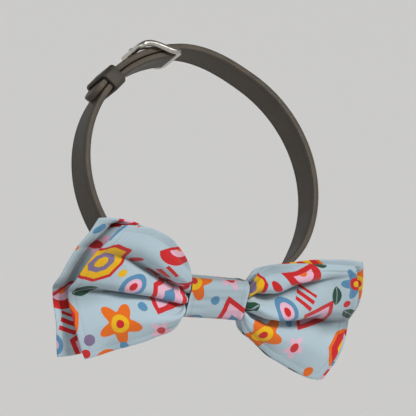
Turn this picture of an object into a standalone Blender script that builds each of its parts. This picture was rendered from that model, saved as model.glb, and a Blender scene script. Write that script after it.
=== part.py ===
"""Pet bow tie collar: a two-layer gathered cloth bow, pinched by a cloth band to a buckled leather strap.

Metres, +Z up, the front towards -Y. The origin is the middle of the neck loop, which leans back
about X. Every shape is first worked out in the bow's own frame, whose origin is the middle of the
knot band's front face, and then moved by LOOP_CENTRE so that the neck's middle lies at the origin.
"""
import bpy
import math
import numpy as np

# Sizes of the bow
BOW_HEIGHT = 0.060         # cut height of both cloth panels
FRONT_LEFT = 0.0580        # reach of the front layer's wings from the middle
FRONT_RIGHT = 0.0615
REAR_LEFT = 0.0612         # reach of the rear layer's wings from the middle
REAR_RIGHT = 0.0665
CLOTH = 0.0010             # thickness of the sewn double cloth
GAP = 0.0003               # clearance between pieces that touch

# Sizes of the strap and its closing at the back of the neck
STRAP_WIDTH = 0.013
STRAP_THICK = 0.0024
STRAP_CHAMFER = 0.0004
LOOP_RADIUS = 0.0485       # middle of the leather, round the neck
LOOP_LEAN = math.radians(50.0)
FRONT_FLAT = 0.0010        # how much the loop is flattened behind the knot
FLAT_HALF = 0.008          # half of the straight run behind the knot
FLAT_BLEND = 0.022         # length in which it turns into the round
OVERLAP = 0.040            # length of the tongue over the base layer
BUCKLE_WIRE = 0.0024
BUCKLE_LENGTH = 0.015
BUCKLE_CORNER = 0.0022     # radius of the frame's corners at the wire's middle
BUCKLE_LIFT = 0.0002       # further clearance over the tongue
PIN_LENGTH = 0.0095
PIN_THICK = 0.0018
KEEPER_WIDTH = 0.006
KEEPER_WALL = 0.0014
KEEPER_ROUND = 0.0008      # inner corner radius
KEEPER_BACK = 0.013        # from the tongue's tip back to the loop's nearer end

# Sizes of the knot band
BAND_WIDTH = 0.024
FRONT_GATHER = 0.0035      # depth of the front layer's pinched folds, cloth included
REAR_GATHER = 0.0031
BAND_FRONT_HEIGHT = 0.0154
BAND_FRONT_ROUND = 0.0022  # inner corner radii of the band
BAND_BACK_ROUND = 0.0005
BAND_SINK = 0.0027         # how much lower the band's back lies than its front
BAND_RISE = -0.0002        # height of the middle of the band's front

# Where the layers lie behind the band's front face
FRONT_MIDDLE = CLOTH + GAP + FRONT_GATHER / 2
REAR_MIDDLE = CLOTH + 2 * GAP + FRONT_GATHER + REAR_GATHER / 2
STRAP_MIDDLE = CLOTH + 3 * GAP + FRONT_GATHER + REAR_GATHER + STRAP_THICK / 2
BAND_DEPTH = STRAP_MIDDLE + STRAP_THICK / 2 + GAP + CLOTH
STRAP_RISE = BAND_RISE - BAND_SINK
KNOT_HALF = BAND_WIDTH / 2

LOOP_CENTRE = np.array([0.0,
                        STRAP_MIDDLE + (LOOP_RADIUS - FRONT_FLAT) * math.cos(LOOP_LEAN),
                        STRAP_RISE + (LOOP_RADIUS - FRONT_FLAT) * math.sin(LOOP_LEAN)])

# Sections along a wing. out is the share of the way from the knot to the wing's end. The others
# are shares of BOW_HEIGHT: top and bottom edge, cloth taken in, depth of the middle behind the knot's
# own middle, and the backward lean of the upper and lower half in degrees, which makes one wide hollow.
WING_COLUMNS = ("out", "top", "bottom", "cloth", "depth", "upper_lean", "lower_lean")
LEFT_WING = (
    (0.00, 0.088, -0.102, 0.34, 0.000, 0, 0),
    (0.02, 0.128, -0.138, 0.40, -0.007, 0, 0),
    (0.06, 0.203, -0.204, 0.545, -0.025, 0, 0),
    (0.15, 0.266, -0.258, 0.678, -0.047, 2, 2),
    (0.26, 0.324, -0.278, 0.730, -0.057, 4, 4),
    (0.38, 0.380, -0.306, 0.796, -0.053, 6, 6),
    (0.53, 0.420, -0.345, 0.852, -0.037, 9, 8),
    (0.70, 0.446, -0.395, 0.901, -0.013, 12, 10),
    (0.87, 0.447, -0.438, 0.928, 0.007, 13, 12),
    (1.00, 0.438, -0.468, 0.947, 0.020, 13, 12))
RIGHT_WING = (
    (0.00, 0.088, -0.102, 0.34, 0.000, 0, 0),
    (0.02, 0.132, -0.142, 0.405, -0.007, 0, 0),
    (0.06, 0.206, -0.204, 0.543, -0.025, 0, 0),
    (0.15, 0.246, -0.258, 0.676, -0.047, 4, 2),
    (0.26, 0.273, -0.308, 0.761, -0.057, 9, 4),
    (0.38, 0.296, -0.360, 0.838, -0.053, 15, 6),
    (0.53, 0.308, -0.406, 0.867, -0.037, 20, 8),
    (0.70, 0.309, -0.460, 0.870, -0.013, 20, 10),
    (0.87, 0.305, -0.509, 0.881, 0.007, 20, 11),
    (1.00, 0.300, -0.525, 0.875, 0.020, 20, 11))

# The rear layer against the front one, as shares of BOW_HEIGHT: how much further behind it than in
# the knot, and how much lower its top edge and its bottom edge lie. cloth is the cloth that it takes
# in, as a share of what the front layer takes in.
REAR_COLUMNS = ("out", "behind", "drop", "lower", "cloth")
REAR_LAYER = (
    (0.00, 0.000, 0.000, 0.000, 0.86),
    (0.06, 0.023, 0.004, 0.000, 0.79),
    (0.15, 0.047, 0.026, 0.006, 0.805),
    (0.26, 0.053, 0.036, 0.025, 0.861),
    (0.38, 0.055, 0.030, 0.040, 0.924),
    (0.53, 0.055, 0.015, 0.050, 0.984),
    (0.70, 0.046, 0.006, 0.054, 1.028),
    (0.87, 0.041, 0.003, 0.052, 1.041),
    (1.00, 0.038, 0.005, 0.040, 1.040))

# Folds across the cloth, from the top edge (1) to the bottom edge (-1), where each crest or hollow
# lies at sections on the way out. A crest is forward and a hollow is back.
FOLD_COLUMNS = ("out", "top_crest", "upper_hollow", "middle_crest", "lower_hollow", "bottom_crest")
LEFT_FOLDS = (
    (0.00, 0.66, 0.31, -0.03, -0.37, -0.69),
    (0.15, 0.63, 0.19, -0.06, -0.26, -0.62),
    (0.35, 0.64, 0.24, -0.05, -0.26, -0.64),
    (0.60, 0.70, 0.39, 0.07, -0.21, -0.61),
    (1.00, 0.79, 0.565, 0.19, -0.13, -0.56))
RIGHT_FOLDS = (
    (0.00, 0.66, 0.31, -0.03, -0.37, -0.69),
    (0.15, 0.61, 0.24, -0.11, -0.39, -0.71),
    (0.35, 0.76, 0.505, 0.06, -0.28, -0.65),
    (0.60, 0.865, 0.695, 0.20, -0.18, -0.60),
    (1.00, 0.94, 0.85, 0.335, -0.09, -0.545))

# How steep the cloth runs between them, as shares of each other, at sections on the way out.
SLOPE_COLUMNS = ("out", "over_top", "into_upper", "out_upper", "into_lower", "out_lower", "under_bottom")
SLOPES = (
    (0.00, 0.8, 0.9, 1.0, 1.0, 1.0, 0.8),
    (0.12, 0.7, 0.9, 1.0, 1.1, 1.0, 0.7),
    (0.35, 0.7, 0.9, 0.9, 1.4, 1.0, 0.6),
    (0.60, 0.5, 0.6, 0.5, 1.2, 0.9, 0.4),
    (1.00, 0.4, 0.3, 0.2, 0.9, 0.8, 0.3))

# How far the top and the bottom corner of each wing fall short of its middle, as shares of BOW_HEIGHT
FRONT_LEFT_CORNERS = (0.200, 0.175)
FRONT_RIGHT_CORNERS = (0.133, 0.142)
REAR_LEFT_CORNERS = (0.142, 0.092)
REAR_RIGHT_CORNERS = (0.108, 0.125)

# Fineness of the solids
SECTIONS = 15              # along a wing
STEPS = 5                  # across the cloth between a crest and a hollow
FINE = 8                   # steps of working inside each of these
NORMAL_BLEND = 0.30        # how much a point's thickness follows its neighbours' direction
BAND_CORNER_STEPS = 5
BAND_SIDE_STEPS = 4
STRAP_STEP = math.radians(5.5)


def shade(obj, angle=35.0):
    obj.data.shade_smooth()
    obj.data.set_sharp_from_angle(angle=math.radians(angle))


def material(name, colour, roughness, metallic=0.0):
    mat = bpy.data.materials.new(name)
    mat.use_nodes = True
    shader = mat.node_tree.nodes["Principled BSDF"]
    shader.inputs["Base Color"].default_value = (*colour, 1.0)
    shader.inputs["Roughness"].default_value = roughness
    shader.inputs["Metallic"].default_value = metallic
    mat.diffuse_color = (*colour, 1.0)
    return mat


def add_object(name, points, faces, mat, angle=35.0):
    mesh = bpy.data.meshes.new(name)
    mesh.from_pydata([tuple(p) for p in points], [], faces)
    mesh.validate()
    mesh.update()
    obj = bpy.data.objects.new(name, mesh)
    bpy.context.scene.collection.objects.link(obj)
    mesh.materials.append(mat)
    shade(obj, angle)
    return obj


def ease(value):
    value = np.clip(value, 0.0, 1.0)
    return value * value * (3.0 - 2.0 * value)


def column(table, names, name, at):
    """Value of one column at a share of the way out, on a curve that never overshoots its rows."""
    place = np.array([row[0] for row in table], float)
    value = np.array([row[names.index(name)] for row in table], float)
    step = np.diff(place)
    rise = np.diff(value) / step
    slope = np.zeros(len(place))
    slope[0] = rise[0]
    slope[-1] = rise[-1]
    for i in range(1, len(place) - 1):
        if rise[i - 1] * rise[i] > 0:
            first = 2 * step[i] + step[i - 1]
            second = step[i] + 2 * step[i - 1]
            slope[i] = (first + second) / (first / rise[i - 1] + second / rise[i])
    i = int(np.clip(np.searchsorted(place, at) - 1, 0, len(step) - 1))
    u = (at - place[i]) / step[i]
    return ((1 + 2 * u) * (1 - u) ** 2 * value[i] + u * (1 - u) ** 2 * step[i] * slope[i]
            + u * u * (3 - 2 * u) * value[i + 1] + u * u * (u - 1) * step[i] * slope[i + 1])


def cross_section(wing, folds, out, rear):
    """Depth and height of the cloth's middle line at one section, from the top edge down."""
    top = column(wing, WING_COLUMNS, "top", out) * BOW_HEIGHT
    bottom = column(wing, WING_COLUMNS, "bottom", out) * BOW_HEIGHT
    cloth = column(wing, WING_COLUMNS, "cloth", out) * BOW_HEIGHT
    middle = FRONT_MIDDLE + column(wing, WING_COLUMNS, "depth", out) * BOW_HEIGHT
    if rear:
        top -= column(REAR_LAYER, REAR_COLUMNS, "drop", out) * BOW_HEIGHT
        bottom -= column(REAR_LAYER, REAR_COLUMNS, "lower", out) * BOW_HEIGHT
        middle += REAR_MIDDLE - FRONT_MIDDLE + column(REAR_LAYER, REAR_COLUMNS, "behind", out) * BOW_HEIGHT
        cloth *= column(REAR_LAYER, REAR_COLUMNS, "cloth", out)
    turns = [1.0] + [column(folds, FOLD_COLUMNS, name, out) for name in FOLD_COLUMNS[1:]] + [-1.0]
    steep = [column(SLOPES, SLOPE_COLUMNS, name, out) for name in SLOPE_COLUMNS[1:]]
    upper = math.radians(column(wing, WING_COLUMNS, "upper_lean", out))
    lower = math.radians(column(wing, WING_COLUMNS, "lower_lean", out))
    count = STEPS * FINE
    across = np.concatenate([np.linspace(turns[k], turns[k + 1], count + 1)[:count] for k in range(6)]
                            + [np.array([-1.0])])
    tilt = np.zeros(len(across))
    crisp = 1 - 0.25 * ease((out - 0.05) / 0.3)
    full = 1 - 0.15 * ease(out / 0.3)
    for k in range(6):
        share = np.linspace(0.0, 1.0, count + 1)[:count]
        if k in (1, 3):
            share = 1 - (1 - share) ** crisp
        if k in (2, 4):
            share = share ** crisp
        wave = np.abs(np.sin(math.pi * share)) ** full
        tilt[k * count:(k + 1) * count] = (1 if k % 2 == 0 else -1) * steep[k] * wave
    hollow = turns[4]
    above = np.sin(math.pi * np.clip((across - hollow) / (1 - hollow), 0, 1) ** 0.8)
    below = np.sin(math.pi * np.clip((hollow - across) / (1 + hollow), 0, 1) ** 0.8)
    lean = np.where(across > hollow, -above * upper, below * lower)
    span = -np.diff(across) * cloth / 2
    half_lean = (lean[1:] + lean[:-1]) / 2
    half_tilt = (tilt[1:] + tilt[:-1]) / 2
    low, high = 0.0, 3.0
    for _ in range(40):
        depth = (low + high) / 2
        if np.sum(np.cos(depth * half_tilt + half_lean) * span) > top - bottom:
            low = depth
        else:
            high = depth
    angle = low * half_tilt + half_lean
    stretch = (top - bottom) / np.sum(np.cos(angle) * span)
    y = np.concatenate([[0.0], np.cumsum(-np.sin(angle) * span * stretch)])
    z = top - np.concatenate([[0.0], np.cumsum(np.cos(angle) * span * stretch)])
    y += middle - (y.max() + y.min()) / 2
    z -= BAND_SINK * y / STRAP_MIDDLE * (1 - ease(out / 0.3))
    keep = slice(0, None, FINE)
    return across[keep], y[keep], z[keep]


def bow_panel(left, right, rear):
    """Grid of points of one cloth panel's middle surface, from the left end to the right end."""
    rows = []
    for side, wing, folds, (reach, corners) in ((-1, LEFT_WING, LEFT_FOLDS, left),
                                                (1, RIGHT_WING, RIGHT_FOLDS, right)):
        half = []
        for out in np.linspace(0.0, 1.0, SECTIONS + 1) ** 1.35:
            across, y, z = cross_section(wing, folds, out, rear)
            short = np.where(across > 0, corners[0], corners[1]) * BOW_HEIGHT * np.abs(across) ** 1.8
            x = KNOT_HALF + GAP + (reach - short - KNOT_HALF - GAP) * out
            half.append(np.stack([side * x, y, z], axis=1))
        rows.append(half)
    left, right = rows
    inner = [left[0] * (1 - share) + right[0] * share for share in (0.25, 0.5, 0.75)]
    return np.array(left[::-1] + inner + right)


def sheet_solid(name, grid, thickness, mat):
    """Closed wall of even thickness on both sides of a grid of points."""
    along = np.gradient(grid, axis=0)
    across = np.gradient(grid, axis=1)
    normal = np.cross(along, across)
    normal /= np.linalg.norm(normal, axis=2)[:, :, None]
    for _ in range(2):
        wide = np.pad(normal, ((1, 1), (1, 1), (0, 0)), mode="edge")
        beside = wide[:-2, 1:-1] + wide[2:, 1:-1] + wide[1:-1, :-2] + wide[1:-1, 2:]
        normal = normal + NORMAL_BLEND * beside
        normal /= np.linalg.norm(normal, axis=2)[:, :, None]
    n, m = grid.shape[:2]
    front = (grid + normal * thickness / 2).reshape(-1, 3)
    back = (grid - normal * thickness / 2).reshape(-1, 3)
    points = np.concatenate([front, back]) - LOOP_CENTRE
    index = np.arange(n * m).reshape(n, m)
    other = index + n * m
    faces = []
    for i in range(n - 1):
        for j in range(m - 1):
            a, b, c, d = index[i, j], index[i + 1, j], index[i + 1, j + 1], index[i, j + 1]
            faces.append((a, b, c, d))
            a, b, c, d = other[i, j], other[i + 1, j], other[i + 1, j + 1], other[i, j + 1]
            faces.append((d, c, b, a))
    for i in range(n - 1):
        faces.append((index[i + 1, 0], index[i, 0], other[i, 0], other[i + 1, 0]))
        faces.append((index[i, m - 1], index[i + 1, m - 1], other[i + 1, m - 1], other[i, m - 1]))
    for j in range(m - 1):
        faces.append((index[0, j], index[0, j + 1], other[0, j + 1], other[0, j]))
        faces.append((index[n - 1, j + 1], index[n - 1, j], other[n - 1, j], other[n - 1, j + 1]))
    return add_object(name, points, [tuple(int(v) for v in face) for face in faces], mat, 60.0)


def band_outline(inset):
    """Closed outline of the knot band in depth and height, taken in by inset from its outside."""
    front = BAND_FRONT_HEIGHT / 2 - CLOTH
    back = STRAP_WIDTH / 2 + GAP
    fall = STRAP_RISE - back - (BAND_RISE - front)
    reach = (BAND_DEPTH - 2 * CLOTH) / (STRAP_MIDDLE - STRAP_THICK / 2 - GAP - CLOTH)
    corners = ((CLOTH, BAND_RISE + front, BAND_FRONT_ROUND),
               (CLOTH, BAND_RISE - front, BAND_FRONT_ROUND),
               (BAND_DEPTH - CLOTH, BAND_RISE - front + fall * reach, BAND_BACK_ROUND),
               (BAND_DEPTH - CLOTH, STRAP_RISE + back, BAND_BACK_ROUND))
    arcs = []
    for i in range(4):
        here = np.array(corners[i][:2])
        before = np.array(corners[i - 1][:2]) - here
        after = np.array(corners[(i + 1) % 4][:2]) - here
        before /= np.linalg.norm(before)
        after /= np.linalg.norm(after)
        half_angle = math.acos(float(np.dot(before, after))) / 2
        inward = (before + after) / np.linalg.norm(before + after)
        middle = here + inward * corners[i][2] / math.sin(half_angle)
        start = math.atan2(-before[0], before[1])
        sweep = math.pi - 2 * half_angle
        radius = corners[i][2] + CLOTH - inset
        arc = []
        for step in range(BAND_CORNER_STEPS + 1):
            turn = start + math.pi + sweep * step / BAND_CORNER_STEPS
            arc.append(middle + radius * np.array([math.cos(turn), math.sin(turn)]))
        arcs.append(arc)
    outline = []
    for i in range(4):
        outline += arcs[i]
        first = arcs[i][-1]
        second = arcs[(i + 1) % 4][0]
        for step in range(1, BAND_SIDE_STEPS):
            outline.append(first + (second - first) * step / BAND_SIDE_STEPS)
    outline = np.array(outline)
    return outline[:, 0], outline[:, 1]


def knot_band(mat):
    """Closed band, from shares of its half width and how far in its face lies there, in shares of CLOTH."""
    stations = ((-1.0, 0.35), (-0.94, 0.05), (-0.5, 0.0), (0.0, -0.05), (0.5, 0.0), (0.94, 0.05), (1.0, 0.35))
    rings = []
    for share, inset in stations:
        y, z = band_outline(inset * CLOTH)
        rings.append(np.stack([np.full(len(y), share * KNOT_HALF), y, z], axis=1))
    for share, inset in reversed(stations):
        y, z = band_outline(CLOTH * (1.0 if inset > 0.1 else 0.9))
        rings.append(np.stack([np.full(len(y), share * KNOT_HALF), y, z], axis=1))
    count = len(rings)
    size = len(rings[0])
    points = np.concatenate(rings) - LOOP_CENTRE
    faces = []
    for i in range(count):
        k = (i + 1) % count
        for j in range(size):
            m = (j + 1) % size
            faces.append((i * size + j, i * size + m, k * size + m, k * size + j))
    return add_object("knot_band", points, faces, mat, 50.0)


def strap_line(angle, rise=0.0):
    """Point on the middle of the leather at an angle round the neck from the knot, rise further out."""
    radius = LOOP_RADIUS + rise
    x = radius * np.sin(angle)
    forward = radius * np.cos(angle)
    near = (1 - ease((np.abs(x) - FLAT_HALF) / FLAT_BLEND)) * (np.cos(angle) > 0)
    forward = forward * (1 - near) + (LOOP_RADIUS - FRONT_FLAT) * near
    back = LOOP_RADIUS - FRONT_FLAT - forward
    return np.array([x,
                     STRAP_MIDDLE + back * math.cos(LOOP_LEAN),
                     STRAP_RISE + back * math.sin(LOOP_LEAN)])


def strap_frame(angle, rise=0.0):
    """Middle point, direction along, direction across and direction outwards of the leather."""
    step = 1e-4
    middle = strap_line(angle, rise)
    along = strap_line(angle + step, rise) - strap_line(angle - step, rise)
    along /= np.linalg.norm(along)
    folded = abs((angle + math.pi) % (2 * math.pi) - math.pi)
    lean = LOOP_LEAN * ease((folded - math.radians(14)) / math.radians(50))
    across = np.array([0.0, -math.sin(lean), math.cos(lean)])
    across -= along * np.dot(across, along)
    across /= np.linalg.norm(across)
    outward = np.cross(along, across)
    return middle, along, across, outward


LAYER = STRAP_THICK + GAP
BASE_END = -math.radians(170.0)
TONGUE_END = BASE_END + 2 * math.pi + OVERLAP / LOOP_RADIUS


def layer_rise(angle):
    """How far out the leather lies where the tongue climbs over the base layer."""
    start = BASE_END + 2 * math.pi
    return LAYER * ease((angle - start + math.radians(42)) / math.radians(38))


def collar_strap(mat):
    count = int(round((TONGUE_END - BASE_END) / STRAP_STEP))
    angles = list(np.linspace(BASE_END, TONGUE_END - 0.5 * STRAP_WIDTH / LOOP_RADIUS, count))
    widths = [1.0] * count
    for share in (0.35, 0.65, 0.85, 0.96):
        angles.append(TONGUE_END - 0.5 * STRAP_WIDTH / LOOP_RADIUS * (1 - share))
        widths.append(math.sqrt(1 - share * share))
    half = STRAP_WIDTH / 2
    thick = STRAP_THICK / 2
    cut = STRAP_CHAMFER
    points = []
    for angle, width in zip(angles, widths):
        middle, along, across, outward = strap_frame(angle, layer_rise(angle))
        w = half * width
        corners = ((w - cut, thick), (w, thick - cut), (w, cut - thick), (w - cut, -thick),
                   (cut - w, -thick), (-w, cut - thick), (-w, thick - cut), (cut - w, thick))
        for a, b in corners:
            points.append(middle + across * a + outward * b - LOOP_CENTRE)
    faces = []
    rings = len(angles)
    for i in range(rings - 1):
        for j in range(8):
            k = (j + 1) % 8
            faces.append((i * 8 + j, i * 8 + k, (i + 1) * 8 + k, (i + 1) * 8 + j))
    faces.append(tuple(range(7, -1, -1)))
    faces.append(tuple((rings - 1) * 8 + j for j in range(8)))
    return add_object("collar_strap", points, faces, mat, 40.0)


def at_back(along_base, across_share, height):
    """World point near the closing: metres along from the base end, across, and out from the base layer."""
    angle = BASE_END + 2 * math.pi + along_base / LOOP_RADIUS
    middle, _, across, outward = strap_frame(angle, 0.0)
    return middle + across * across_share + outward * height - LOOP_CENTRE


def wire_ring(path, radius, sides=8):
    """Closed round wire along a closed list of points."""
    path = np.array(path)
    n = len(path)
    tangent = np.roll(path, -1, axis=0) - np.roll(path, 1, axis=0)
    tangent /= np.linalg.norm(tangent, axis=1)[:, None]
    centre = path.mean(axis=0)
    points = []
    for i in range(n):
        out = path[i] - centre
        out -= tangent[i] * np.dot(out, tangent[i])
        out /= np.linalg.norm(out)
        side = np.cross(tangent[i], out)
        for j in range(sides):
            turn = 2 * math.pi * (j + 0.5) / sides
            points.append(path[i] + radius * (math.cos(turn) * out + math.sin(turn) * side))
    faces = []
    for i in range(n):
        k = (i + 1) % n
        for j in range(sides):
            m = (j + 1) % sides
            faces.append((i * sides + j, i * sides + m, k * sides + m, k * sides + j))
    return points, faces


def buckle(mat):
    """One piece: a bar in line with the base layer's end, two side rails, and a bar over the tongue."""
    wire = BUCKLE_WIRE / 2
    side = STRAP_WIDTH / 2 + 2 * GAP + wire
    bar = -(GAP + wire)
    far = bar + BUCKLE_LENGTH
    high = LAYER + STRAP_THICK / 2 + GAP + wire + BUCKLE_LIFT
    corner = BUCKLE_CORNER
    flat = []
    for x0, y0, start in ((far, side, 0.0), (bar, side, 0.5), (bar, -side, 1.0), (far, -side, 1.5)):
        sx = 1 if x0 == far else -1
        sy = 1 if y0 > 0 else -1
        cx = x0 - sx * corner
        cy = y0 - sy * corner
        for step in range(5):
            turn = math.pi * (start + step / 8.0)
            flat.append((cx + corner * math.cos(turn), cy + corner * math.sin(turn)))
        if y0 > 0 and x0 == far or y0 < 0 and x0 == bar:
            other = bar if x0 == far else far
            for share in (0.25, 0.5, 0.75):
                reach = cx * (1 - share) + (other + sx * corner) * share
                flat.append((reach, y0))
        else:
            for share in (0.33, 0.67):
                flat.append((x0, cy * (1 - 2 * share)))
    path = []
    for along, across in flat:
        climb = float(ease((along - bar - wire) / (far - bar - 2.5 * wire)))
        path.append(at_back(along, across, high * climb))
    points, faces = wire_ring(path, wire)
    ring = add_object("buckle", points, faces, mat, 50.0)
    pin = []
    for share in (0.0, 0.25, 0.5, 0.75, 1.0):
        along = far + wire / 3 - share * PIN_LENGTH
        height = high + PIN_THICK * (0.44 - 0.5 * share * share)
        half = PIN_THICK * (0.5 - 0.11 * share)
        for a, b in ((half, half), (-half, half), (-half, -half), (half, -half)):
            pin.append(at_back(along, a, height + b))
    faces = [(3, 2, 1, 0), (16, 17, 18, 19)]
    for i in range(4):
        for j in range(4):
            k = (j + 1) % 4
            faces.append((i * 4 + j, i * 4 + k, (i + 1) * 4 + k, (i + 1) * 4 + j))
    tool = add_object("buckle_pin_form", pin, faces, mat)
    tool.hide_render = True
    tool.display_type = 'WIRE'
    join = ring.modifiers.new("pin", 'BOOLEAN')
    join.operation = 'UNION'
    join.solver = 'EXACT'
    join.object = tool
    return ring


def keeper_loop(mat):
    """Plain leather loop round the base layer and the tongue."""
    start = OVERLAP - KEEPER_BACK
    inner_half = STRAP_WIDTH / 2 + GAP
    low = -STRAP_THICK / 2 - GAP
    high = LAYER + STRAP_THICK / 2 + GAP
    rings = []
    for grow, shares in ((KEEPER_WALL, (0.0, 0.5, 1.0)), (0.0, (1.0, 0.5, 0.0))):
        for share in shares:
            ring = []
            half = inner_half + grow
            bottom = low - grow
            top = high + grow
            radius = KEEPER_ROUND + grow
            for cx, cy, start_turn in ((half - radius, top - radius, 0.0), (radius - half, top - radius, 0.5),
                                       (radius - half, bottom + radius, 1.0),
                                       (half - radius, bottom + radius, 1.5)):
                for step in range(4):
                    turn = math.pi * (start_turn + step / 6.0)
                    ring.append(at_back(start + share * KEEPER_WIDTH,
                                        cx + radius * math.cos(turn), cy + radius * math.sin(turn)))
            rings.append(ring)
    size = len(rings[0])
    count = len(rings)
    points = [p for ring in rings for p in ring]
    faces = []
    for i in range(count):
        k = (i + 1) % count
        for j in range(size):
            m = (j + 1) % size
            faces.append((i * size + j, k * size + j, k * size + m, i * size + m))
    return add_object("keeper_loop", points, faces, mat)


def outward_faces(obj):
    """Turns the faces outwards, by the sign of the mesh's volume."""
    mesh = obj.data
    volume = 0.0
    for face in mesh.polygons:
        corners = [mesh.vertices[v].co for v in face.vertices]
        for k in range(1, len(corners) - 1):
            volume += corners[0].dot(corners[k].cross(corners[k + 1]))
    if volume < 0:
        mesh.flip_normals()


def main():
    for obj in list(bpy.data.objects):
        bpy.data.objects.remove(obj, do_unlink=True)
    front_cloth = material("printed cloth front", (0.62, 0.72, 0.78), 0.85)
    rear_cloth = material("printed cloth rear", (0.56, 0.67, 0.74), 0.85)
    band_cloth = material("printed cloth band", (0.60, 0.70, 0.77), 0.85)
    leather = material("dark olive leather", (0.085, 0.075, 0.055), 0.55)
    loop_leather = material("dark olive leather loop", (0.080, 0.070, 0.050), 0.55)
    metal = material("buckle metal", (0.62, 0.60, 0.55), 0.30, 1.0)
    front = bow_panel((FRONT_LEFT, FRONT_LEFT_CORNERS), (FRONT_RIGHT, FRONT_RIGHT_CORNERS), False)
    rear = bow_panel((REAR_LEFT, REAR_LEFT_CORNERS), (REAR_RIGHT, REAR_RIGHT_CORNERS), True)
    sheet_solid("front_bow", front, CLOTH, front_cloth)
    sheet_solid("rear_bow", rear, CLOTH, rear_cloth)
    knot_band(band_cloth)
    collar_strap(leather)
    buckle(metal)
    keeper_loop(loop_leather)
    for obj in bpy.data.objects:
        outward_faces(obj)


main()
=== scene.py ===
"""Looks of the pet bow tie collar: printed cotton bow, cloth knot band, dark leather strap, metal buckle."""
import bmesh
import bpy
import math
import numpy as np
from mathutils import Matrix, Vector
from mathutils.bvhtree import BVHTree


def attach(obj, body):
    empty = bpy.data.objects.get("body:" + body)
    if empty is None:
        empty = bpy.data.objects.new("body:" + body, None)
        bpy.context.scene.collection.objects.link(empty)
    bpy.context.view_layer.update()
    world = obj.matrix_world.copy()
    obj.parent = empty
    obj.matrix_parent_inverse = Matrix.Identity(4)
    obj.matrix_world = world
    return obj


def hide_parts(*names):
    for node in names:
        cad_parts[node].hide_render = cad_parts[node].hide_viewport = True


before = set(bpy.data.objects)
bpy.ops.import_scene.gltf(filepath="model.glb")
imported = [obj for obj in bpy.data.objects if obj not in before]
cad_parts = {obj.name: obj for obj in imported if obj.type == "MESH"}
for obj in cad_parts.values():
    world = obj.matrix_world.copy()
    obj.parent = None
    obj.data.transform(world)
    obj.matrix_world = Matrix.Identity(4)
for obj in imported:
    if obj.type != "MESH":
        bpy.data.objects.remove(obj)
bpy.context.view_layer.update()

# Sizes of the construction, in metres, as in the part
BOW_HEIGHT = 0.060
FRONT_LEFT = 0.0580
FRONT_RIGHT = 0.0615
REAR_LEFT = 0.0612
REAR_RIGHT = 0.0665
CLOTH = 0.0010
GAP = 0.0003
STRAP_WIDTH = 0.013
STRAP_THICK = 0.0024
LOOP_RADIUS = 0.0485
LOOP_LEAN = math.radians(50.0)
FRONT_FLAT = 0.0010
FLAT_HALF = 0.008
FLAT_BLEND = 0.022
OVERLAP = 0.040
BUCKLE_WIRE = 0.0024
BUCKLE_LENGTH = 0.015
BUCKLE_CORNER = 0.0022
BUCKLE_LIFT = 0.0002
PIN_LENGTH = 0.0095
KEEPER_WIDTH = 0.006
KEEPER_WALL = 0.0014
KEEPER_ROUND = 0.0008
KEEPER_BACK = 0.013
BAND_WIDTH = 0.024
FRONT_GATHER = 0.0035
REAR_GATHER = 0.0031
BAND_FRONT_HEIGHT = 0.0154
BAND_FRONT_ROUND = 0.0022
BAND_BACK_ROUND = 0.0005
BAND_SINK = 0.0027
BAND_RISE = -0.0002
FRONT_MIDDLE = CLOTH + GAP + FRONT_GATHER / 2
REAR_MIDDLE = CLOTH + 2 * GAP + FRONT_GATHER + REAR_GATHER / 2
STRAP_MIDDLE = CLOTH + 3 * GAP + FRONT_GATHER + REAR_GATHER + STRAP_THICK / 2
BAND_DEPTH = STRAP_MIDDLE + STRAP_THICK / 2 + GAP + CLOTH
STRAP_RISE = BAND_RISE - BAND_SINK
KNOT_HALF = BAND_WIDTH / 2
LOOP_CENTRE = np.array([0.0,
                        STRAP_MIDDLE + (LOOP_RADIUS - FRONT_FLAT) * math.cos(LOOP_LEAN),
                        STRAP_RISE + (LOOP_RADIUS - FRONT_FLAT) * math.sin(LOOP_LEAN)])
LAYER = STRAP_THICK + GAP
BASE_END = -math.radians(170.0)
TONGUE_END = BASE_END + 2 * math.pi + OVERLAP / LOOP_RADIUS

# The photograph's view: turn, height and roll of the camera, its distance, the scale at the knot and the
# knot's place in the photograph, and the part of the photograph that the frame shows, in its pixels
VIEW_AZIMUTH = math.radians(-28.9)
VIEW_ELEVATION = math.radians(19.0)
VIEW_ROLL = math.radians(-14.2)
VIEW_DISTANCE = 1.15
PIXELS_PER_METRE = 1080.0
KNOT_PIXEL = (255.15, 192.1)
FRAME_CENTRE = (251.0, 155.0)
FRAME_PIXELS = 168.0
SENSOR_MM = 36.0
FLOOR_HEIGHT = -1.0
FLOOR_REACH = 40.0

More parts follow.
